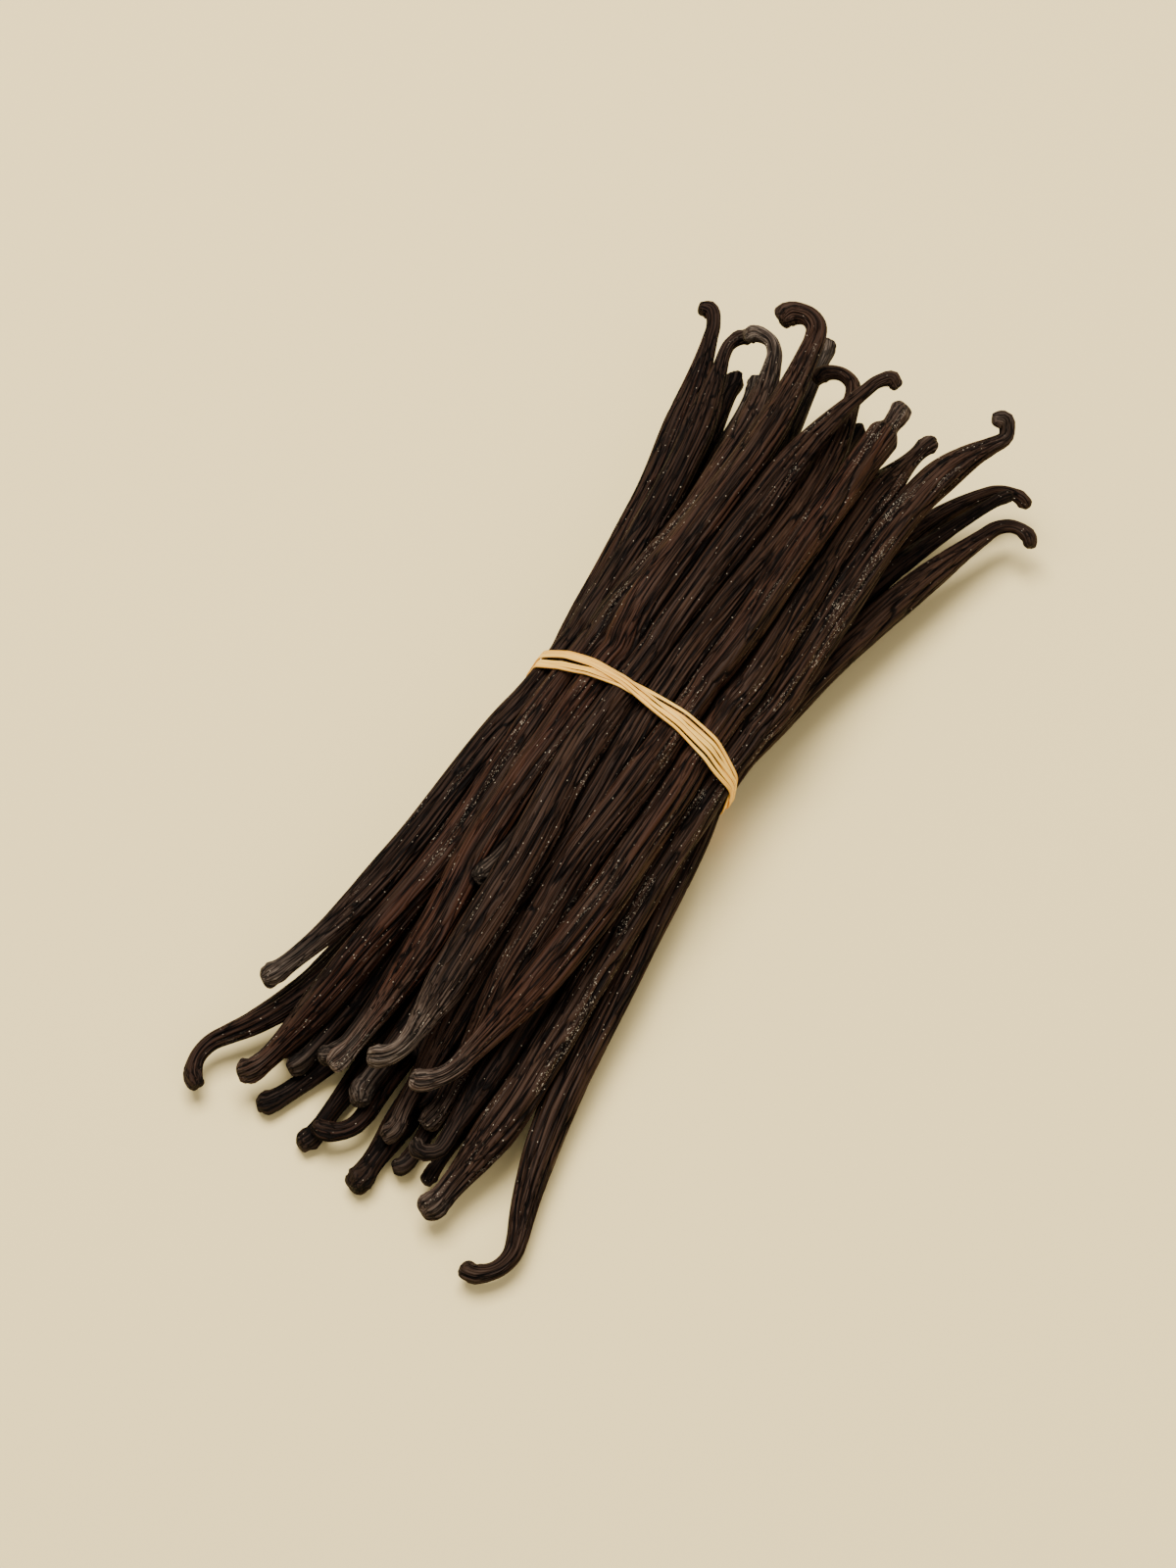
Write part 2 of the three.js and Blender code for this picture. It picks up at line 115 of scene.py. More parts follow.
OUTER = [
    (5.8, (-34.2, 87, 22, -10, 5, 32, 1.4, 115, 3.6, 180), (-30.6, -87.8, 5, -34, 0, 30, 1.5, 110, 7.6, 0)),
    (5.8, (-28.4, 79.8, 23, -8, 6, 30, 1.25, 95, 5.8, 0), (-26.3, -75.4, 14, -14, -2, 32, 1.7, 20, 14, 180)),
    (6.3, (-16.4, 79.4, 30, -20, 4, 30, 1.45, 140, 4.8, 180), (-20.8, -88.2, 6, -10, 0, 22, 1.9, 40, 10, 180)),
    (6.5, (-11.2, 84.2, 33, -8, 5, 36, 1.8, 175, 4.6, 180), (-9, -80, 10, -8, -2, 30, 1.6, 20, 20, 180)),
    (7.0, (3.4, 83, 31, 16, 2, 42, 1.3, 135, 2.7, -20), (1.1, -76.4, 17, -2, 0, 22, 1.6, 80, 7.5, 180)),
    (5.8, (-1.0, 82, 25, -10, 8, 28, 1.3, 185, 4.6, 180), (7, -87, 5, 4, -2, 30, 1.5, 60, 4, 180)),
    (6.8, (9.6, 78.6, 27, 0, 0, 9.5, 1.8, 25, 12, 60), (9, -80, 6, 0, 0, 30, 1.7, 30, 12, 180)),
    (6.5, (16, 82, 19, 6, -2, 20, 1.5, 25, 10, 0), (8.9, -74.8, 13, -6, -2, 32, 1.7, 75, 8.5, 180)),
    (6.9, (26.8, 88, 23, 34, 6, 24, 1.4, 200, 2.8, 150), (17, -95, 4, -8, 0, 22, 2.0, 30, 8, 180)),
    (6.3, (32.5, 79, 9, 10, 2, 40, 1.35, 140, 5.2, -10), (32.3, -93.8, 4, 16, 0, 32, 1.55, 125, 7, 180)),
    (5.8, (27.4, 86.8, 9, 28, 0, 42, 1.2, 90, 7.5, -20), (20.5, -63, 7, 0, 0, 26, 1.4, 20, 12, 180)),
    (5.4, (17, 62, 3, 4, 0, 30, 1.4, 20, 16, 0), (13, -90.4, 3, -2, 0, 40, 1.1, 15, 12, 0)),
    (5.2, (9, 59, 3, 0, 0, 30, 1.4, 20, 16, 180), (13, -76, 3, 0, 0, 30, 1.5, 20, 10, 180)),
    (5.6, (1, 62, 3, 0, 0, 30, 1.4, 20, 16, 0), (5.1, -96.8, 3, -6, 0, 16, 2.1, 25, 8, 180)),
    (5.3, (-8, 60, 3, -4, 0, 30, 1.5, 20, 16, 180), (-7.8, -93, 3, 2, 0, 26, 1.7, 40, 8, 180)),
    (5.4, (-15, 64, 3, -4, 0, 30, 1.5, 25, 16, 180), (-16, -91.6, 3, -24, 0, 26, 1.7, 30, 10, 180)),
    (5.3, (-21, 78, 6, -4, 2, 28, 1.4, 20, 12, 90), (-20, -80, 4, -10, 0, 26, 1.6, 30, 12, 180)),
]
MIDDLE = [
    (5.5, (-26.4, 81.6, 14, -2, 0, 24, 1.7, 15, 12, 180), (-15, -84, 6, -10, 0, 26, 1.6, 30, 10, 180)),
    (5.4, (-22.6, 82.4, 15, -6, 3, 26, 1.25, 15, 12, 180), (-10, -79, 7, -10, 0, 26, 1.5, 60, 7, 150)),
    (5.2, (-12.4, 92.2, 20, -6, 2, 34, 1.4, 25, 12, 180), (-5, -44, 22, -8, 3, 24, 1.5, 25, 9, 90)),
    (5.3, (-3, 64, 17, 0, 0, 30, 1.4, 10, 16, 0), (-3, -84, 8, -4, 0, 28, 1.8, 60, 5, 20)),
    (5.4, (1.3, 80.4, 17, 0, 2, 18, 1.4, 20, 8, 90), (13, -87, 8.5, 0, 2, 26, 1.4, 170, 2.9, 170)),
    (5.2, (9, 63, 12, 0, 0, 30, 1.4, 10, 16, 0), (7, -80, 7, 0, 0, 30, 1.6, 30, 8, 180)),
    (5.0, (30, 84.6, 10, 12, 4, 46, 1.1, 25, 12, 0), (17, -80, 6, -4, 0, 30, 1.6, 20, 10, 180)),
    (5.3, (18, 64, 9, 2, 0, 30, 1.4, 10, 16, 0), (13, -80, 6, -3, 0, 30, 1.5, 20, 12, 0)),
    (5.4, (9, 61, 8, 0, 0, 30, 1.4, 10, 16, 0), (8, -89.4, 3.4, -6, 0, 24, 1.5, 60, 5, 180)),
    (5.3, (0, 63, 8, 0, 0, 30, 1.4, 10, 16, 180), (-2.6, -87, 4, 4, 0, 30, 1.5, 110, 7, 180)),
    (5.5, (-12, 61, 8, -2, 0, 30, 1.4, 10, 16, 180), (-12, -80, 5, -8, 0, 26, 1.6, 15, 12, 180)),
]
INNER = [
    (5.4, (-12, 64, 13, -4, 0, 30, 1.4, 10, 16, 180), (-9, -74, 7, -6, 0, 30, 1.5, 20, 12, 180)),
    (5.5, (3, 62, 14, 0, 0, 30, 1.5, 10, 16, 0), (1, -72, 9, 0, 0, 30, 1.6, 20, 12, 0)),
    (5.4, (13, 62, 13, 2, 0, 30, 1.4, 10, 16, 0), (12, -58, 10, 2, 0, 30, 1.5, 20, 12, 0)),
]
print(len(OUTER), "pods round the outside,", len(MIDDLE), "inside them and", len(INNER), "in the middle")

# %% [markdown]
# ## How the pods lie
# At the tie the pods stand in oval rings, one pod further in each time. From its place in the ring a pod
# runs out both ways along a Hermite curve, which leaves the tie straight and arrives at the end's heading.
# The curl is an arc that tightens. A simulation could drop the pods, but it couldn't give these places.
# %% Sizes at the tie
WAIST_WIDTH, WAIST_HEIGHT = 22.4, 14.2  # half of each
WAIST_MIDDLE = 15.45  # above the table: the half height, and the tie below it
WAIST_RADIUS = 2.8
ROW_SPACING = 2.2 * WAIST_RADIUS
OVAL_STEPS = 1440
NODES = 60


def oval_places(depth, count):
    """Even places, by arc length, round the oval that lies 2 * depth + 1 pod radii inside the tie."""
    inset = (2 * depth + 1) * WAIST_RADIUS
    angle = np.linspace(math.pi, -math.pi, OVAL_STEPS + 1)
    oval = np.c_[(WAIST_WIDTH - inset) * np.cos(angle), (WAIST_HEIGHT - inset) * np.sin(angle)]
    reach = np.r_[0, np.cumsum(np.linalg.norm(np.diff(oval, axis=0), axis=1))]
    at = np.arange(count) / count * reach[-1]
    x, z = (np.interp(at, reach, oval[:, axis]) for axis in (0, 1))
    return np.c_[x, 0 * x, WAIST_MIDDLE + z]


row = np.array([[k * ROW_SPACING, 0, WAIST_MIDDLE] for k in (-1, 0, 1)])
places = np.vstack([oval_places(0, len(OUTER)), oval_places(1, len(MIDDLE)), row])
print("places at the tie:", places.shape)


# %% One pod's centre line
BODY_STEPS, CURL_STEPS = 40, 16
TIGHTENS = 0.3


def half_path(waist, along, tip):
    """From the tie out: p(t) = waist + chord (3t^2 - 2t^3) + L t (1-t)^2 out - L t^2 (1-t) heading, then the
    curl, whose heading turns evenly through its sweep while its radius shrinks by three tenths."""
    side = np.sign(tip["at"][1])
    chord = tip["at"] - waist
    yaw = math.atan2(chord[0], abs(chord[1])) + tip["turn"]
    pitch = math.atan2(chord[2], math.hypot(chord[0], chord[1])) + tip["climb"]
    flat = np.array([math.sin(yaw), side * math.cos(yaw), 0])
    heading = flat * math.cos(pitch) + [0, 0, math.sin(pitch)]
    t = np.linspace(0, 1, BODY_STEPS + 1)[:, None]
    pull = np.linalg.norm(chord) * t * (1 - t)
    body = waist + chord * t * t * (3 - 2 * t) + side * along * pull * (1 - t) - heading * pull * t
    across = np.array([math.cos(yaw), -side * math.sin(yaw), 0])
    above = np.cross(across, heading) * side
    inward = across * math.cos(tip["roll"]) + above * math.sin(tip["roll"])
    share = ((np.arange(CURL_STEPS) + 0.5) / CURL_STEPS)[:, None]
    step = tip["radius"] * (1 - TIGHTENS * share) * tip["sweep"] / CURL_STEPS
    angle = tip["sweep"] * share
    curl = tip["at"] + np.cumsum(step * (heading * np.cos(angle) + inward * np.sin(angle)), axis=0)
    return np.vstack([body, curl])


def pod_nodes(waist, stalk, blossom):
    """The two halves joined from the blossom end to the stalk end, as nodes at even distances."""
    along = stalk["at"] - blossom["at"]
    along = along / np.linalg.norm(along)
    line = np.vstack([half_path(waist, along, blossom)[::-1], half_path(waist, along, stalk)[1:]])
    reach = np.r_[0, np.cumsum(np.linalg.norm(np.diff(line, axis=0), axis=1))]
    at = np.linspace(0, reach[-1], NODES)
    return np.column_stack([np.interp(at, reach, line[:, axis]) for axis in range(3)]), reach[-1]


first_length = pod_nodes(places[0], *(end(*tip) for tip in OUTER[0][1:]))[1]
print("the first pod is", round(first_length), "mm along its curve")

# %% [markdown]
# A pod starts at its tip with a small knob, narrows to a neck and tapers up to its full body. The tie
# squeezes the pods a little where it holds them. The same sizes serve for the settling and for the surface.
# %% A pod's thickness
KNOB_LENGTH, NECK_AT, KNOB_OVER_NECK = 2.6, 6.0, 1.2
SQUEEZE, SQUEEZE_REACH = 0.1, 16
LEAST_RADIUS = 1.2


def smooth(t):
    """0 below 0, 1 above 1 and 3t^2 - 2t^3 between."""
    t = np.clip(t, 0, 1)
    return t * t * (3 - 2 * t)


def radius_from(tip, distance, body):
    """Knob radius times a quarter circle at first, then smooth steps from knob to neck to body."""
    knob = tip["neck"] * KNOB_OVER_NECK
    cap = knob * np.sqrt(np.clip(1 - (1 - np.minimum(distance / KNOB_LENGTH, 1)) ** 2, 0, 1))
    neck = knob + (tip["neck"] - knob) * smooth((distance - KNOB_LENGTH) / (NECK_AT - KNOB_LENGTH))
    full = neck + (body - tip["neck"]) * smooth((distance - NECK_AT) / (tip["taper"] - NECK_AT))
    return np.where(distance < KNOB_LENGTH, cap, full)


def pod_radius(pod, reach, y):
    """The smaller of the radii that the two ends allow, with a tenth squeezed off inside the tie."""
    body = pod["thickness"] / 2 * (1 - SQUEEZE * smooth(1 - np.abs(y) / SQUEEZE_REACH))
    ends = radius_from(pod["blossom"], reach, body), radius_from(pod["stalk"], pod["length"] - reach, body)
    return np.minimum(*ends)


pods = []
for place, (thickness, *tips) in zip(places, OUTER + MIDDLE + INNER):
    stalk, blossom = (end(*tip) for tip in tips)
    nodes, length = pod_nodes(place, stalk, blossom)
    pod = dict(nodes=nodes, length=length, thickness=thickness, stalk=stalk, blossom=blossom)
    pod["radii"] = np.maximum(LEAST_RADIUS, pod_radius(pod, np.linspace(0, length, NODES), nodes[:, 1]))
    pods.append(pod)
print("pods from", round(min(p["length"] for p in pods)), "to", round(max(p["length"] for p in pods)), "mm")

# %% [markdown]
# Laid out like this, pods still run through each other. They are settled as strings of balls: where two
# balls overlap both give way, none goes below the table or out of the tie, and each string gives way
# smoothly along its length, so that its curls keep their shape.
# %% Let the pods settle
PASSES, PUSH, KEEP = 160, 0.45, 0.996
NEAR = 7
TIE_REACH = 9


def hold(place, radius, shift):
    """Lifts balls off the table, and keeps those within TIE_REACH mm of the waist inside the tie's oval."""
    shift[:, 2] = np.maximum(shift[:, 2], radius - place[:, 2])
    now = place + shift
    room = np.c_[WAIST_WIDTH - radius, WAIST_HEIGHT - radius]
    oval = (now[:, [0, 2]] - [0, WAIST_MIDDLE]) / room
    out = np.linalg.norm(oval, axis=1)
    past = (out > 1) & (np.abs(now[:, 1]) <= TIE_REACH)
    inside = oval[past] / out[past, None] * room[past] + [0, WAIST_MIDDLE]
    shift[past, 0] = inside[:, 0] - place[past, 0]
    shift[past, 2] = inside[:, 1] - place[past, 2]
    return shift


def settle(pods):
    """Moves each ball of an overlapping pair by PUSH times their overlap, lets every shift fade by KEEP and
    averages it 1-2-1 along its string. Only balls that start within NEAR mm of touching are compared."""
    place = np.vstack([pod["nodes"] for pod in pods])
    radius = np.concatenate([pod["radii"] for pod in pods])
    owner = np.repeat(np.arange(len(pods)), NODES)
    far = np.linalg.norm(place[:, None] - place[None], axis=2)
    near = (far < radius[:, None] + radius + NEAR) & (owner[:, None] < owner)
    a, b = np.nonzero(near)
    shift = np.zeros_like(place)
    for _ in range(PASSES):
        apart = place[a] + shift[a] - place[b] - shift[b]
        distance = np.linalg.norm(apart, axis=1)
        overlap = np.clip(radius[a] + radius[b] - distance, 0, None)
        push = apart * (PUSH * overlap / distance)[:, None]
        moved = shift * KEEP
        for axis in range(3):
            forward = np.bincount(a, push[:, axis], len(place))
            back = np.bincount(b, push[:, axis], len(place))
            moved[:, axis] += forward - back
        moved = hold(place, radius, moved).reshape(len(pods), NODES, 3)
        padded = np.pad(moved, ((0, 0), (1, 1), (0, 0)), mode="edge")
        shift = (2 * moved + padded[:, :-2] + padded[:, 2:]).reshape(-1, 3) / 4
        shift = hold(place, radius, shift)
    for pod, nodes in zip(pods, (place + shift).reshape(len(pods), NODES, 3)):
        pod["nodes"] = nodes
    return np.linalg.norm(shift, axis=1).max()


print("the furthest ball gave way by", round(settle(pods), 1), "mm")

# %% [markdown]
# ## One pod's surface
# A pod could be sculpted, or a tube could be pushed about by a displacement texture. Here its surface is a
# function of the distance along it and the angle round it, so its furrows can follow the pod and fade out
# at the tips, and the same numbers can colour it later.
# %% Curves and seeded wandering
def along_nodes(nodes, at):
    """Catmull-Rom through the nodes: 0.5 (2b + (c-a)u + (2a-5b+4c-d)u^2 + (3b-a-3c+d)u^3), at in 0..1."""
    position = np.clip(at, 0, 1) * (len(nodes) - 1)
    k = np.minimum(position.astype(int), len(nodes) - 2)
    u = (position - k)[:, None]
    line = np.vstack([2 * nodes[0] - nodes[1], nodes, 2 * nodes[-1] - nodes[-2]])
    a, b, c, d = (line[k + offset] for offset in range(4))
    return 0.5 * (2 * b + (c - a) * u + (2 * a - 5 * b + 4 * c - d) * u**2 + (3 * b - a - 3 * c + d) * u**3)


def wander(rng, distance, step, waves=3):
    """A smooth wandering between about -1 and 1: a mean of sines with lengths near the given step in mm."""
    lengths = step * rng.uniform(0.7, 1.9, waves)
    phases = rng.uniform(0, 2 * math.pi, waves)
    return np.sin(2 * math.pi * distance[:, None] / lengths + phases).mean(1) * 1.4


print("halfway along the first pod:", along_nodes(pods[0]["nodes"], np.array([0.5])).round(1), "mm")


# %% The creased skin
FOLDS = dict(counts=(3, 4, 5, 6, 7), drift=90, width=0.085)
WRINKLES = dict(counts=(8, 9, 11, 13, 14), drift=60, width=0.05)
BODY_LUMPS = ((2, 0.05), (3, 0.05), (5, 0.025))
KNOB_LUMPS = ((1, 0.1), (2, 0.12), (3, 0.1), (5, 0.06))
KNOB_REACH = 3.2
CAP_RINGS = 8
DIMPLE = 0.55
TABLE_GAP = 0.03
SKIN_APART = 300


def creases(rng, distance, angle, counts, drift, width):
    """Lines that wander, join and part along the pod: where a sum f of cos(k a + p_k(s)) over the counts k,
    with phases p_k that drift every so many millimetres, passes through zero. f over its slope round the pod
    is how far off the line is in radians, so exp(-(f / (width slope))^2) is 1 on the line and about as wide
    everywhere. Each line deepens and fades again along the pod."""
    field, slope = (np.zeros((len(distance), len(angle))) for _ in range(2))
    for count in counts:
        phase = rng.uniform(0, 2 * math.pi) + 2.6 * wander(rng, distance, drift)
        field += np.cos(count * angle[None] + phase[:, None])
        slope -= count * np.sin(count * angle[None] + phase[:, None])
    lines = np.exp(-((field / (width * np.hypot(slope, 1))) ** 2))
    turn = rng.uniform(0, 2 * math.pi) + 2 * wander(rng, distance, 70)
    fade = wander(rng, distance, 18)[:, None]
    comes_and_goes = 0.66 + 0.34 * np.cos(2 * angle[None] + turn[:, None]) * fade
    return lines * comes_and_goes


def pod_rings(pod, rings):
    """Distances of the rings: quarter-circle spacing over each knob, even spacing between the knobs."""
    cap = KNOB_LENGTH * (1 - np.cos(np.linspace(0, math.pi / 2, CAP_RINGS + 1)))
    body = np.linspace(KNOB_LENGTH, pod["length"] - KNOB_LENGTH, rings - 2 * CAP_RINGS)
    return np.concatenate([cap[:-1], body, pod["length"] - cap[:-1][::-1]])


def pod_surface(pod, seed, rings, around):
    """p(s, a) = c(s) + r(s, a) (cos a side(s) wide + sin a top(s) / wide), with r = R(s) (1 + lumps) less
    the creases. Lumps are waves round the pod, with stronger ones near each tip that make its knob uneven.
    Each tip is dimpled: its middle is drawn in along the pod. The table flattens the underside. Gives out
    the points, their coordinates on the skin, and how deep in a crease each one is, from 0 to about 1."""
    rng = np.random.default_rng(seed)
    distance = pod_rings(pod, rings)
    centre = along_nodes(pod["nodes"], distance / pod["length"])
    tangent = np.gradient(centre, distance, axis=0)
    tangent /= np.linalg.norm(tangent, axis=1)[:, None]
    level = np.linalg.svd(tangent, full_matrices=False)[2][2]
    level = level * np.sign(level[2])
    top = level - tangent * (tangent @ level)[:, None]
    top /= np.linalg.norm(top, axis=1)[:, None]
    side = np.cross(tangent, top)

    angle = np.arange(around) * 2 * math.pi / around
    plain = pod_radius(pod, distance, centre[:, 1])
    from_tip = np.minimum(distance, pod["length"] - distance)
    lumps = 0.03 * wander(rng, distance, 24)[:, None] + np.zeros(around)
    for count, size in BODY_LUMPS:
        drift = rng.uniform(0, 2 * math.pi) + 1.6 * wander(rng, distance, 80)
        lumps += size * np.cos(count * angle[None] + drift[:, None])
    folds = creases(rng, distance, angle, **FOLDS)
    wrinkles = creases(rng, distance, angle, **WRINKLES)
    # How deep in a crease each point lies, which later sets the painted shade of the creases.
    hollow_shade = np.maximum(folds, 0.7 * wrinkles)
    body = smooth((plain - 0.9) / 1.8)[:, None]
    knob = np.exp(-((from_tip / KNOB_REACH) ** 2))[:, None]
    for count, size in KNOB_LUMPS:
        turn = rng.uniform(0, 2 * math.pi) + 1.5 * wander(rng, distance, 3)
        lumps += knob * size * np.cos(count * angle[None] + turn[:, None])
    radius = plain[:, None] * (1 + lumps) - (0.12 + 0.4 * body) * folds - (0.08 + 0.2 * body) * wrinkles
    radius = np.maximum(radius, 0.3 * plain[:, None])

    wide = 1 + 0.05 * smooth(from_tip / 20)
    dip = DIMPLE * np.exp(-((plain / (DIMPLE * 1.6)) ** 2)) * (from_tip < KNOB_LENGTH)
    inward = np.where(distance < pod["length"] / 2, 1, -1) * dip
    points = centre + tangent * inward[:, None]
    points = points[:, None] + side[:, None] * (radius * np.cos(angle) * wide[:, None])[..., None]
    points = points + top[:, None] * (radius * np.sin(angle) / wide[:, None])[..., None]
    points[..., 2] = np.maximum(points[..., 2], TABLE_GAP)
    skin = np.empty_like(points)
    skin[..., 0] = plain[:, None] * np.cos(angle)
    skin[..., 1] = plain[:, None] * np.sin(angle)
    skin[..., 2] = distance[:, None] + SKIN_APART * seed
    return points, skin, hollow_shade


print("the first rings of a pod, in mm from its tip:", pod_rings(pods[0], 260)[:4].round(2))

# %% [markdown]
# Where pods lie against each other, the shade between them is painted on as a darker skin. How close each
# point comes to the other pods is worked out here, and it gets the same painted shade as the inside of a
# crease later.
# %% Where pods touch
LINE_STEPS = 240
FADE = 0.45


def finer(pod):
    """The pod's centre line and its radius at more places than its nodes."""
    at = np.linspace(0, 1, LINE_STEPS)
    return along_nodes(pod["nodes"], at), np.interp(at, np.linspace(0, 1, NODES), pod["radii"])


LINES, THICK = (np.array(part) for part in zip(*(finer(pod) for pod in pods)))


def contact_shade(points, number):
    """exp(-(gap / FADE)^2). The gap from a point to another pod is how far it is from that pod's line, at the
    place nearest to the middle of the point's own ring, less the pod's radius there."""
    others = np.arange(len(pods)) != number
    lines, thick = LINES[others], THICK[others]
    nearest = np.linalg.norm(points.mean(1)[:, None, None] - lines, axis=3).argmin(2)
    which = np.arange(len(lines))
    away = np.linalg.norm(points[:, :, None] - lines[which, nearest][:, None], axis=3)
    gap = np.clip((away - thick[which, nearest][:, None]).min(2), 0, None)
    return np.exp(-((gap / FADE) ** 2))


print(len(LINES), "centre lines of", LINE_STEPS, "places each")

# %% [markdown]
# The grid becomes a mesh with one point at each tip and four-sided faces between. Whole arrays go in at
# once. The numbers that the skin's colours need later are stored on the points as attributes.
# %% From a grid to a mesh
def add_mesh(name, points, quads, triangles=None):
    """A mesh from points in metres, four-sided faces and triangles, all as arrays, shaded smooth."""
    triangles = np.zeros((0, 3), int) if triangles is None else triangles
    mesh = bpy.data.meshes.new(name)
    corners = np.concatenate([quads.ravel(), triangles.ravel()])
    starts = np.concatenate([np.arange(len(quads)) * 4, quads.size + np.arange(len(triangles)) * 3])
    mesh.vertices.add(len(points))
    mesh.vertices.foreach_set("co", np.ascontiguousarray(points, dtype=np.float32).ravel())
    mesh.loops.add(len(corners))
    mesh.loops.foreach_set("vertex_index", corners.astype(np.int32))
    mesh.polygons.add(len(starts))
    mesh.polygons.foreach_set("loop_start", starts.astype(np.int32))
    mesh.update(calc_edges=True)
    mesh.shade_smooth()
    piece = bpy.data.objects.new(name, mesh)
    bpy.context.scene.collection.objects.link(piece)
    return piece


def store(piece, name, values):
    """Keeps one number, or one vector, per point of the piece under the given attribute name."""
    values = np.asarray(values, dtype=np.float32)
    kind, key = ("FLOAT_VECTOR", "vector") if values.ndim == 2 else ("FLOAT", "value")
    attribute = piece.data.attributes.new(name, kind, "POINT")
    attribute.data.foreach_set(key, values.ravel())


def tube_faces(rings, around, first=0):
    """Four-sided faces between neighbouring rings of a tube whose rings follow each other in the list."""
    ring, spoke = np.meshgrid(np.arange(rings - 1), np.arange(around), indexing="ij")
    here = first + ring * around + spoke
    beside = first + ring * around + (spoke + 1) % around
    return np.stack([here, beside, beside + around, here + around], axis=-1).reshape(-1, 4)


def capped_tube(grid):
    """The tube's points with its first and last ring drawn together to one point each, and its faces."""
    rings, around = grid.shape[:2]
    flat = grid[1:-1].reshape(-1, grid.shape[2])
    points = np.vstack([grid[0, :1], flat, grid[-1, :1]])
    quads = tube_faces(rings - 2, around, 1)
    spoke = np.arange(around)
    beside = (spoke + 1) % around
    last = len(points) - 1
    first_fan = np.column_stack([np.zeros(around, int), 1 + beside, 1 + spoke])
    last_ring = 1 + (rings - 3) * around
    last_fan = np.column_stack([np.full(around, last), last_ring + spoke, last_ring + beside])
    return points, quads, np.vstack([first_fan, last_fan])


print("a tube of 3 rings of 4 points has", len(tube_faces(3, 4)), "four-sided faces")

# %% [markdown]
# The pods on top are the ones that are looked at, so they get the finest grids. Those below and inside get
# coarser ones. Vanillin blooms as a white veil at some tips and as white needles along some pods, and a few
# pods are redder than the rest, so each pod carries its own numbers for that, from 0 to 1. Where there are
# two, the first is for the stalk end and the second for the blossom end. Pods not listed get the last line's,
# but those on top are fully lit. A lit share under 1 paints a pod darker and less grey, as shade: the pods
# below get it, and the first three, on the left side.
# %% Make the pods
ON_TOP = 11
FINE, PLAIN, ROUGH = (260, 120), (150, 44), (110, 24)  # rings, and points round each
REDDISH = {0: (0.5, 0.3), 2: (0.3, 0.8), 3: (0.4, 0.9), 6: (0.7, 0.2), 7: (0.2, 0.7), 8: (0.3, 0.1)}
REDDISH |= {26: (0.2, 0.6)}
VEILED = {1: (0.1, 0.8), 2: (1, 0.35), 3: (0.1, 0.8), 4: (0.15, 1), 5: (0, 0.4), 6: (0.5, 0.3)}
VEILED |= {7: (0.2, 0.8), 8: (0.4, 0.4), 17: (0.2, 0.4), 18: (0.9, 0.6), 19: (1, 0.7), 20: (0, 0.6)}
VEILED |= {21: (0.1, 0.4), 25: (0, 0.2)}
# Painted shade: these pods on the left side, and by the last line those below, are painted darker.
LIT_SHARE = {0: 0.6, 1: 0.6, 2: 0.85}
NEEDLED = {0: 0.5, 1: 0.6, 2: 1.0, 3: 0.6, 4: 0.6, 6: 0.8, 7: 0.7, 8: 1.0, 9: 0.25, 10: 0.15}
OTHER_RED, OTHER_VEIL, OTHER_NEEDLES, LIT_SHARE_BELOW = (0.12, 0.12), (0.05, 0.1), 0.3, 0.3


def add_pod(number, pod):
    """One pod as a piece of its own. Redness goes smoothly from one end's number to the other's, and a veil v
    fades from its tip as v exp(-(s / (5 + 9 v^2))^2)."""
    size = FINE if number < ON_TOP else ROUGH if number >= len(OUTER) + len(MIDDLE) else PLAIN
    points, skin, hollow_shade = pod_surface(pod, number + 1, *size)
    # The painted shade of the creases, deepened where other pods touch this one.
    hollow_shade = np.maximum(hollow_shade, contact_shade(points, number))
    rows, quads, triangles = capped_tube(np.concatenate([points, skin, hollow_shade[..., None]], axis=-1))
    piece = add_mesh(f"pod_{number + 1:02d}", in_frame(rows[:, :3]), quads, triangles)
    reach = rows[:, 5] - SKIN_APART * (number + 1)
    ends = zip(VEILED.get(number, OTHER_VEIL), (pod["length"] - reach, reach))
    veil = sum(own * np.exp(-((away / (5 + 9 * own**2)) ** 2)) for own, away in ends)
    red = REDDISH.get(number, OTHER_RED)
    share = smooth(reach / pod["length"] * 1.6 - 0.3)
    store(piece, "skin", rows[:, 3:6])
    store(piece, "hollow_shade", rows[:, 6])
    store(piece, "veil", veil)
    store(piece, "reddish", red[0] * share + red[1] * (1 - share))
    store(piece, "needles", np.full(len(rows), NEEDLED.get(number, OTHER_NEEDLES)))
    store(piece, "lit_share", np.full(len(rows), LIT_SHARE.get(number, 1 if number < ON_TOP else LIT_SHARE_BELOW)))
    return piece


pod_pieces = [add_pod(number, pod) for number, pod in enumerate(pods)]
faces = sum(len(piece.data.polygons) for piece in pod_pieces)
print(len(pod_pieces), "pods,", faces, "faces")

# %% [markdown]
# ## The dark middle
# Between the pods lies a smaller dark core, so that little light shows through where they are packed. It is
# a lofted oval whose size follows how far the pods spread at each step along the bundle.
# %% The core
CORE_SIZE, CORE_WINDOW = 1.25, 6


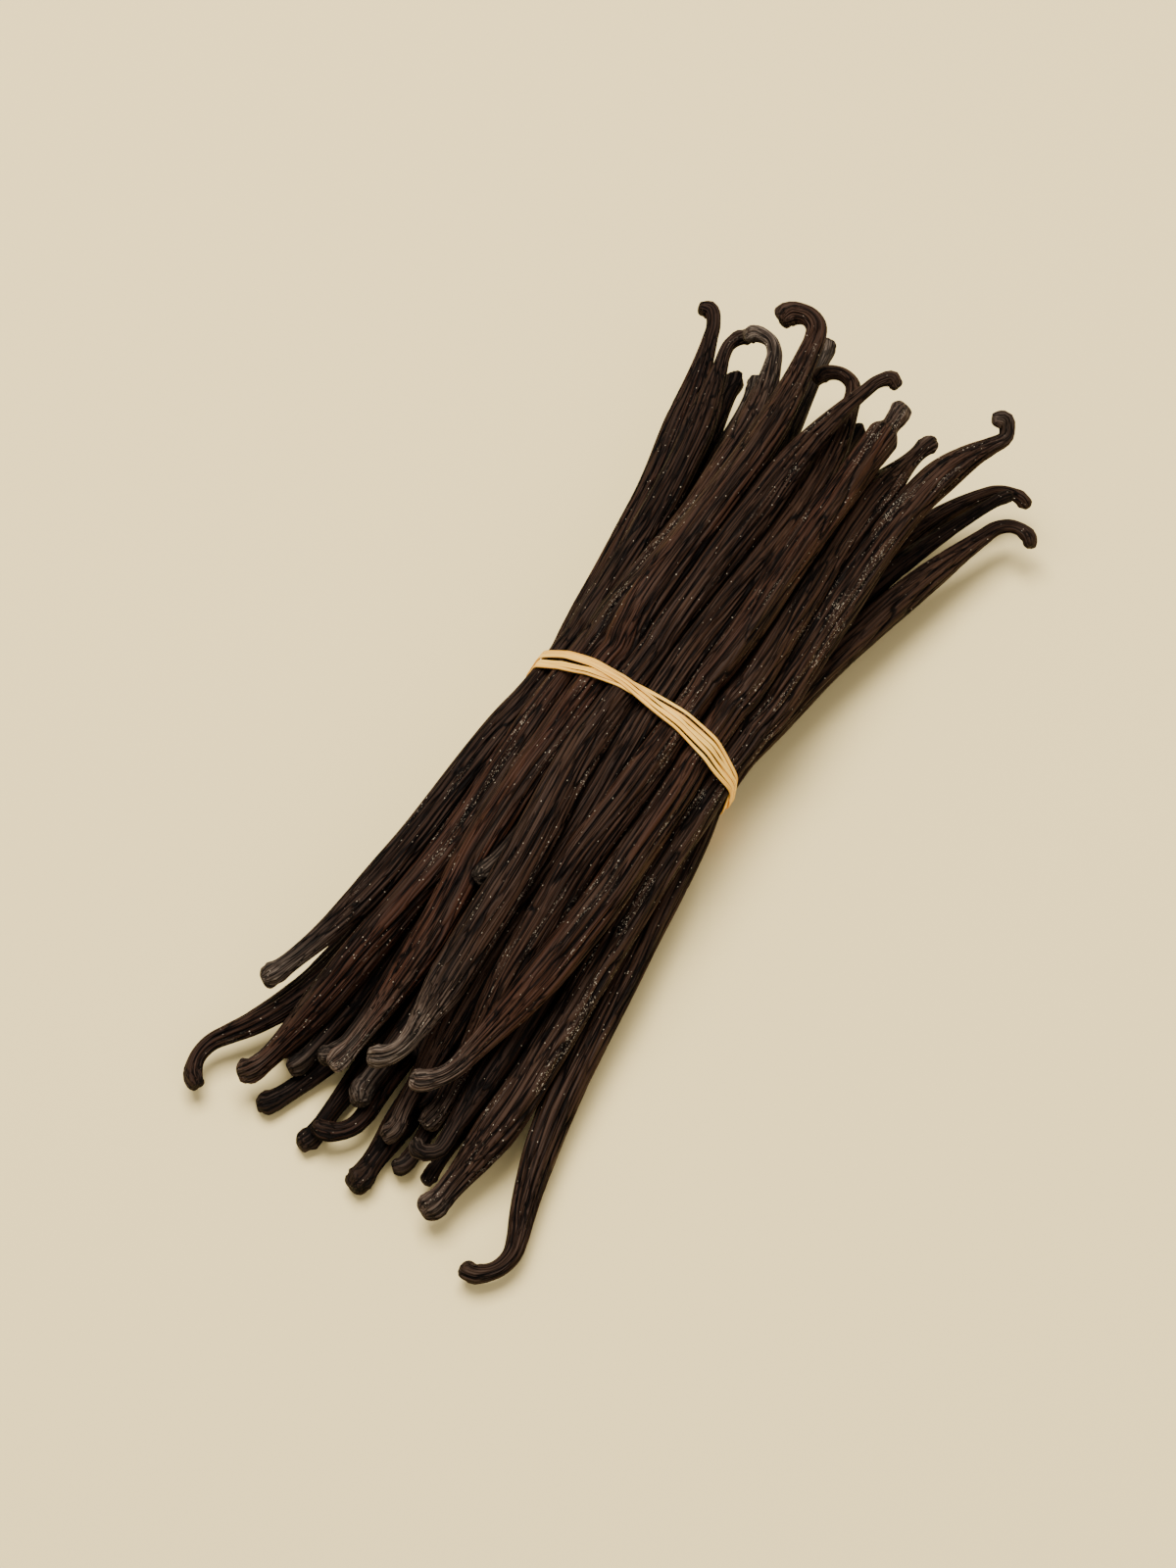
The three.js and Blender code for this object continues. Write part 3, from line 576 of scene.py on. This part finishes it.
def core_grid(pods, reach=50, rings=41, around=32):
    """c(y) is the mean of the pods' nodes, those within about CORE_WINDOW mm of y counting most. The oval's
    half axes are CORE_SIZE standard deviations of the same nodes, less towards the two rounded ends."""
    nodes = np.vstack([pod["nodes"] for pod in pods])
    y = np.linspace(-reach, reach, rings)
    weight = np.exp(-(((nodes[:, 1] - y[:, None]) / CORE_WINDOW) ** 2))
    weight /= weight.sum(1)[:, None]
    middle = weight @ nodes
    spread = np.sqrt(np.maximum(weight @ nodes**2 - middle**2, 0)) * CORE_SIZE
    close = np.sqrt(np.clip(1 - (np.abs(y) / reach) ** 6, 0, 1))
    angle = np.arange(around) * 2 * math.pi / around
    grid = np.empty((rings, around, 3))
    grid[..., 0] = middle[:, :1] + (spread[:, :1] * close[:, None]) * np.cos(angle)
    grid[..., 1] = y[:, None]
    grid[..., 2] = middle[:, 2:] + (spread[:, 2:] * close[:, None]) * np.sin(angle)
    return grid[:, ::-1]


core_rows, core_quads, core_fans = capped_tube(core_grid(pods))
core = add_mesh("core", in_frame(core_rows), core_quads, core_fans)
print("the core is", [round(v * 1000) for v in core.dimensions], "mm")

# %% [markdown]
# ## The raffia tie
# Raffia is a strip of palm leaf: thin, flat and full of long fibres. It goes round the pods in two turns
# that cross each other, and each turn has split into three narrower ribbons. It is pulled tight, so its loop
# is the hull of the pods' round sections there: straight from pod to pod and bent round each one.
# %% The line of a tight loop
DIRECTIONS, ROUNDINGS = 2880, 3


def tight_loop(pods, along, apart, steps):
    """For each outward direction n the pod with the greatest c . n + r carries the loop, at
    c + (r + apart) n. The points of all directions, joined by straight lines, are the hull. It is sampled at
    even distances and averaged 1-2-1 a few times. Gives out the line and its outward directions."""
    sections = []
    for pod in pods:
        order = np.argsort(pod["nodes"][:, 1])
        y = pod["nodes"][order, 1]
        sections.append([np.interp(along, y, pod[key][order]) for key in ("x", "z", "radii")])
    x, z, radius = np.array(sections).T
    turn = np.linspace(0, 2 * math.pi, DIRECTIONS + 1)
    out = np.c_[np.cos(turn), np.sin(turn)]
    carrier = (np.c_[x, z] @ out.T + radius[:, None]).argmax(0)
    line = np.c_[x, z][carrier] + out * (radius[carrier] + apart)[:, None]
    reach = np.r_[0, np.cumsum(np.linalg.norm(np.diff(line, axis=0), axis=1))]
    at = np.arange(steps) / steps * reach[-1]
    even = np.column_stack([np.interp(at, reach, line[:, axis]) for axis in (0, 1)])
    for _ in range(ROUNDINGS):
        even = (np.roll(even, 1, axis=0) + 2 * even + np.roll(even, -1, axis=0)) / 4
    ahead = np.roll(even, -1, axis=0) - np.roll(even, 1, axis=0)
    ahead /= np.linalg.norm(ahead, axis=1)[:, None]
    return even, np.c_[ahead[:, 1], -ahead[:, 0]]


for pod in pods:
    pod["x"], pod["z"] = pod["nodes"][:, 0], pod["nodes"][:, 2]
loop, loop_out = tight_loop(pods, TIE_ALONG, 0.1, 260)
print("the loop is", np.ptp(loop, axis=0).round(1), "mm")


# %% One ribbon
TIE_SLANT = -0.08
FIBRE_SCALE, RIBBON_APART = 18, 100


def ribbon_grid(offset, swing, width, depth, rise, seed, around=18):
    """The loop with y = slant x + swing sin 2a + offset and a little wandering, a flat rounded section that
    grows wider and narrower along the loop, and a few fine ridges along its broad faces. Gives out the
    points, their coordinates along and across the fibres, and how near the ribbon's edge each one is."""
    rng = np.random.default_rng(seed)
    turn = np.arctan2(loop[:, 1] - WAIST_MIDDLE, loop[:, 0] * WAIST_HEIGHT / WAIST_WIDTH)
    ripple = [np.sin(k * turn + rng.uniform(0, 6.28)) * rng.uniform(0.3, 1) for k in (3, 5, 8)]
    x, z = (loop + loop_out * (depth / 2 + rise)).T
    y = TIE_ALONG + TIE_SLANT * x + swing * np.sin(2 * turn) + offset + 0.08 * sum(ripple)
    section = np.arange(around) * 2 * math.pi / around
    flat = np.sign(np.cos(section)) * np.abs(np.cos(section)) ** 0.6 * width / 2
    ridge = 1 + 0.2 * np.cos(8 * math.pi * flat / width + rng.uniform(0, 6))
    thick = np.sign(np.sin(section)) * np.abs(np.sin(section)) ** 0.8 * depth / 2 * ridge
    breadth = 1 + 0.16 * np.sin(2 * turn + rng.uniform(0, 6)) + 0.08 * np.sin(7 * turn + rng.uniform(0, 6))
    grid = np.empty((len(loop), around, 3))
    grid[..., 0] = x[:, None] + loop_out[:, :1] * thick
    grid[..., 1] = y[:, None] + flat * breadth[:, None]
    grid[..., 2] = np.maximum(z[:, None] + loop_out[:, 1:] * thick, 0.02 + 0.2 * (thick + depth / 2))
    fibre = np.empty_like(grid)
    fibre[..., 0] = (turn * FIBRE_SCALE)[:, None] + RIBBON_APART * seed
    fibre[..., 1] = flat + 3 * seed
    fibre[..., 2] = thick
    return grid, fibre, np.broadcast_to(np.abs(flat) / width * 2, grid.shape[:2])


print("the tie leans by", round(math.degrees(math.atan(TIE_SLANT)), 1), "degrees")

# %% Make the tie
RIBBONS = [
    dict(offset=0.80, swing=1.50, width=0.78, depth=0.34, rise=0.02),
    dict(offset=0.00, swing=1.25, width=0.66, depth=0.32, rise=-0.04),
    dict(offset=-0.85, swing=1.05, width=0.70, depth=0.32, rise=0.04),
    dict(offset=0.85, swing=-1.00, width=0.66, depth=0.32, rise=0.32),
    dict(offset=0.10, swing=-1.25, width=0.74, depth=0.34, rise=0.26),
    dict(offset=-0.75, swing=-1.50, width=0.74, depth=0.34, rise=0.34),
]


def add_ribbon(number, shape):
    """A closed loop: the tube's last ring joins its first, so there is no end to cap."""
    grid, fibre, edge = ribbon_grid(seed=number + 1, **shape)
    steps, around = grid.shape[:2]
    quads = tube_faces(steps + 1, around) % (steps * around)
    piece = add_mesh(f"tie_ribbon_{number + 1}", in_frame(grid.reshape(-1, 3)), quads)
    store(piece, "fibre", fibre.reshape(-1, 3))
    store(piece, "edge", edge.reshape(-1))
    return piece


ribbons = [add_ribbon(number, shape) for number, shape in enumerate(RIBBONS)]
print(len(ribbons), "ribbons of raffia")

# %% [markdown]
# ## Writing finishes as sums
# A finish is a graph of nodes. Linking them one by one hides the idea, so a small class wraps a socket:
# adding or multiplying two of them adds the Math node, and every other node comes from one method.
# %% A socket that can be added and multiplied
class Signal:
    """A shader socket that gives out a number, or a colour or vector for the nodes that take one."""

    def __init__(self, finish, socket):
        self.finish, self.socket = finish, socket

    def maths(self, operation, *others):
        return self.finish.node("ShaderNodeMath", {"operation": operation}, dict(enumerate((self, *others))))

    def __add__(self, other):
        return self.maths("ADD", other)

    def __mul__(self, other):
        return self.maths("MULTIPLY", other)

    def __sub__(self, other):
        return self.maths("SUBTRACT", other)

    def __rsub__(self, other):
        return self * -1 + other

    def held(self):
        """The number kept between 0 and 1."""
        return self.finish.node("ShaderNodeClamp", {}, {"Value": self})

    def step(self, low, high):
        """0 below low, 1 above high and smooth between."""
        settings = {"interpolation_type": "SMOOTHSTEP"}
        return self.finish.node("ShaderNodeMapRange", settings, {"Value": self, 1: low, 2: high})

    __radd__ = __add__
    __rmul__ = __mul__


class Finish:
    """A material under construction, with its Principled shader."""

    def __init__(self, name, **shader):
        self.material = bpy.data.materials.new(name)
        self.material.use_nodes = True
        self.tree = self.material.node_tree
        self.shader = self.tree.nodes["Principled BSDF"]
        for socket, value in shader.items():
            self.set(self.shader.inputs[socket.replace("_", " ")], value)

    def set(self, socket, value):
        if isinstance(value, Signal):
            self.tree.links.new(value.socket, socket)
        elif isinstance(value, tuple) and len(value) == 3 and socket.type == "RGBA":
            socket.default_value = (*value, 1)
        else:
            socket.default_value = value

    def node(self, kind, settings, inputs, output=0):
        """Any node: its settings first, then the values or links of its sockets. Gives out one socket."""
        node = self.tree.nodes.new(kind)
        for name, value in settings.items():
            setattr(node, name, value)
        for key, value in inputs.items():
            self.set(node.inputs[key], value)
        return Signal(self, node.outputs[output])

    def stored(self, name, vector=False):
        return self.node("ShaderNodeAttribute", {"attribute_name": name}, {}, "Vector" if vector else "Fac")

    def stretched(self, vector, scale, shift=(0, 0, 0)):
        return self.node("ShaderNodeMapping", {}, {"Vector": vector, "Scale": scale, "Location": shift})

    def noise(self, vector, scale, detail=2.0, rough=0.5):
        inputs = {"Vector": vector, "Scale": scale, "Detail": detail, "Roughness": rough}
        return self.node("ShaderNodeTexNoise", {}, inputs)

    def mix(self, share, first, second):
        """A colour part of the way from the first to the second."""
        settings = {"data_type": "RGBA", "clamp_factor": True}
        return self.node("ShaderNodeMix", settings, {0: share, 6: first, 7: second}, 2)

    def bump(self, height, distance):
        return self.node("ShaderNodeBump", {}, {"Height": height, "Distance": distance, "Strength": 1.0})

    def give(self, **sockets):
        for socket, value in sockets.items():
            self.set(self.shader.inputs[socket.replace("_", " ")], value)


def colour(red, green, blue):
    """A screen colour, 0 to 255, as the linear light a shader takes: ((c + 0.055) / 1.055)^2.4."""
    part = np.array([red, green, blue]) / 255
    return tuple(float(v) for v in np.where(part <= 0.04045, part / 12.92, ((part + 0.055) / 1.055) ** 2.4))


print("a dark brown in linear light:", [round(v, 4) for v in colour(50, 36, 30)])

# %% [markdown]
# ## The cured skin
# A cured pod is nearly black-brown and a little oily. Its ridges are rubbed greyer, some pods are reddish, and
# white needles of vanillin lie in streaks and at the tips. Its furrows, the places where pods touch and the
# pods that get less light are painted darker, as shade. The pattern reads the pod's own coordinates, so that
# everything runs along the pod and bends with it.
# %% Cured vanilla skin
def cured_skin():
    """Dark brown to a greyer, rubbed brown by streaks and patches, then a reddish share, then the dark of
    cracks and the painted shade of creases, of touching pods and of pods that get less light, then vanillin: a
    grey film at some tips, and dots and broken lines as the needles."""
    finish = Finish("cured_skin", IOR=1.45, Specular_IOR_Level=0.08)
    skin = finish.stored("skin", vector=True)
    hollow_shade, veil = finish.stored("hollow_shade"), finish.stored("veil")
    reddish, needles, lit_share = (finish.stored(name) for name in ("reddish", "needles", "lit_share"))

    patches = finish.noise(finish.stretched(skin, (0.35, 0.35, 0.03)), 1.0, 3)
    streaks = finish.noise(finish.stretched(skin, (1, 1, 0.035)), 2.4, 3, 0.6)
    grain = finish.noise(finish.stretched(skin, (1, 1, 0.12)), 4.5, 3, 0.65)
    hair = (finish.noise(finish.stretched(skin, (1, 1, 0.028)), 1.5, 1.5) - 0.5).maths("ABSOLUTE")
    crack = (finish.noise(finish.stretched(skin, (1, 1, 0.04), (9, 4, 0)), 0.8, 2) - 0.5).maths("ABSOLUTE")
    here = finish.noise(finish.stretched(skin, (0.6, 0.6, 0.06), (3, 3, 3)), 1.0, 1).step(0.36, 0.56)
    cracks = ((1 - hair.step(0.006, 0.034)) * here * 0.8 + (1 - crack.step(0.006, 0.032))).held()

    # Painted shade: pods that get less light keep less of the rubbed grey here, and are darkened further
    # below.
    grey = ((streaks.step(0.36, 0.66) * 0.65 + patches.step(0.38, 0.66) * 0.35) * lit_share).held()
    base = finish.mix(grey, colour(38, 24, 16), colour(58, 41, 30))
    red = (patches.step(0.36, 0.58) * reddish * 0.6).held()
    base = finish.mix(red, base, colour(58, 28, 14))
    # Painted shade: the hollows of creases and of touching pods, and pods that get less light, are darkened
    # here. The cracks and grain are the skin's own.
    dark = hollow_shade.step(0.1, 0.6) * 0.9 + cracks * 0.75
    dark = (dark + (1 - grain.step(0.25, 0.5)) * 0.2 + (1 - lit_share) * 0.5).held()
    base = finish.mix(dark, base, colour(5, 2, 1))

    beds = finish.noise(finish.stretched(skin, (0.5, 0.5, 0.06), (7, 3, 0)), 1.0, 3).step(0.5, 0.68)
    cells = {"Vector": finish.stretched(skin, (1, 1, 0.6)), "Scale": 2.6}
    near = finish.node("ShaderNodeTexVoronoi", {}, cells, "Distance")
    draw = finish.node("ShaderNodeTexVoronoi", {}, cells, "Color")
    chance = finish.node("ShaderNodeSeparateColor", {}, {"Color": draw}, "Red")
    dots = (1 - near.step(0.12, 0.25)) * chance.maths("LESS_THAN", needles * (beds * 0.34 + 0.06))
    broken = finish.noise(finish.stretched(skin, (1, 1, 0.7), (1, 8, 3)), 2.6, 1).step(0.5, 0.6)
    scribble = (finish.noise(finish.stretched(skin, (1, 1, 0.5), (2, 5, 8)), 3.2, 2) - 0.5).maths("ABSOLUTE")
    lines = (1 - scribble.step(0.01, 0.03)) * (beds * needles).step(0.35, 0.8) * broken
    bloom = (dots * (0.5 + grain * 0.6) + lines * 0.8).held()
    film = (veil * (0.3 + 0.7 * streaks.step(0.42, 0.62)) * (1 - dark * 0.8)).held()
    base = finish.mix(film * 0.75, base, colour(122, 110, 98))
    base = finish.mix(bloom * 0.85, base, colour(200, 186, 164))

    height = streaks * 0.4 + grain * 0.15 - cracks * 1.0 + bloom * 0.2
    finish.give(
        Base_Color=base,
        Roughness=(0.42 + 0.18 * streaks + 0.2 * bloom + 0.15 * film + 0.2 * dark).held(),
        Normal=finish.bump(height, 0.00035),
    )
    return finish.material


skin_material = cured_skin()
for number, piece in enumerate(pod_pieces):
    piece.data.materials.append(skin_material)
    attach(piece, "root")
    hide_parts("pods")
print("the pods wear", skin_material.name)

# %% [markdown]
# The core isn't quite hidden: slivers of it show between the pods near the tie, and from behind a patch shows
# among the stalk ends. So it is as dark as the shade there, and only faintly uneven.
# %% The core's finish
def shade_between():
    """Two near-black browns, mixed by noise that is drawn out along the bundle."""
    finish = Finish("shade_between", Roughness=0.8)
    place = finish.node("ShaderNodeTexCoord", {}, {}, "Object")
    streaks = finish.noise(finish.stretched(place, (400, 40, 400)), 1.0, 3)
    finish.give(Base_Color=finish.mix(streaks.step(0.35, 0.65), colour(18, 12, 9), colour(34, 24, 19)))
    return finish.material


core.data.materials.append(shade_between())
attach(core, "root")
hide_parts("pods")
print("the core is in place")

# %% [markdown]
# ## Raffia
# Dry raffia is straw-coloured and faintly silky along its fibres. The colour drifts slowly along the strip
# and quickly across it, and the fibres stand up as fine ridges.
# %% Raffia
def raffia():
    """Two straw colours mixed by slow noise, with darker lines from fine noise and towards the edges."""
    finish = Finish("raffia", IOR=1.5, Specular_IOR_Level=0.35)
    fibre, edge = finish.stored("fibre", vector=True), finish.stored("edge")
    fibres = finish.noise(finish.stretched(fibre, (0.05, 3.6, 1.5)), 1.0, 3, 0.6)
    drift = finish.noise(finish.stretched(fibre, (0.12, 0.8, 0.5)), 1.0, 2)
    base = finish.mix(drift.step(0.3, 0.7), colour(246, 184, 64), colour(254, 206, 94))
    lines = ((1 - fibres.step(0.38, 0.5)) * 0.6 + edge.step(0.75, 1.0) * 0.45).held()
    base = finish.mix(lines, base, colour(176, 112, 38))
    finish.give(Base_Color=base, Roughness=0.5 + 0.2 * fibres, Normal=finish.bump(fibres, 0.0002))
    return finish.material


raffia_material = raffia()
for piece in ribbons:
    piece.data.materials.append(raffia_material)
    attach(piece, "root")
    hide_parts("tie")
print("the tie wears", raffia_material.name)

# %% [markdown]
# ## Floor and light
# The floor is plain and pale. The light is a large soft panel high on the left, so that the shadows are
# soft and fall to the right, a weak panel from the other side, and a pale surrounding.
# %% The floor
def add_floor(size=3.0):
    """A square that reaches size metres from the middle to each side."""
    corners = np.array([[-1, -1, 0], [1, -1, 0], [1, 1, 0], [-1, 1, 0]]) * size
    floor = add_mesh("floor", corners, np.array([[0, 1, 2, 3]]))
    finish = Finish("pale_floor", Roughness=0.9, Base_Color=colour(243, 221, 160))
    floor.data.materials.append(finish.material)
    return floor


floor = add_floor()
print("floor", round(floor.dimensions.x, 1), "m wide")


# %% The lights
def add_panel(name, place, size, watts, tint):
    """A square area light that faces the middle of the bundle."""
    data = bpy.data.lights.new(name, "AREA")
    data.size, data.energy, data.color = size, watts, tint
    panel = bpy.data.objects.new(name, data)
    panel.location = place
    panel.rotation_euler = (-Vector(place)).to_track_quat("-Z", "Y").to_euler()
    bpy.context.scene.collection.objects.link(panel)
    return panel


add_panel("key", (-0.26, 0.2, 1.15), 0.8, 29, (1, 0.95, 0.87))
add_panel("fill", (0.7, -0.5, 0.8), 0.9, 3.5, (1, 0.95, 0.88))
world = bpy.data.worlds.new("surrounding")
world.use_nodes = True
world.node_tree.nodes["Background"].inputs["Color"].default_value = (1, 0.955, 0.885, 1)
world.node_tree.nodes["Background"].inputs["Strength"].default_value = 0.52
bpy.context.scene.world = world
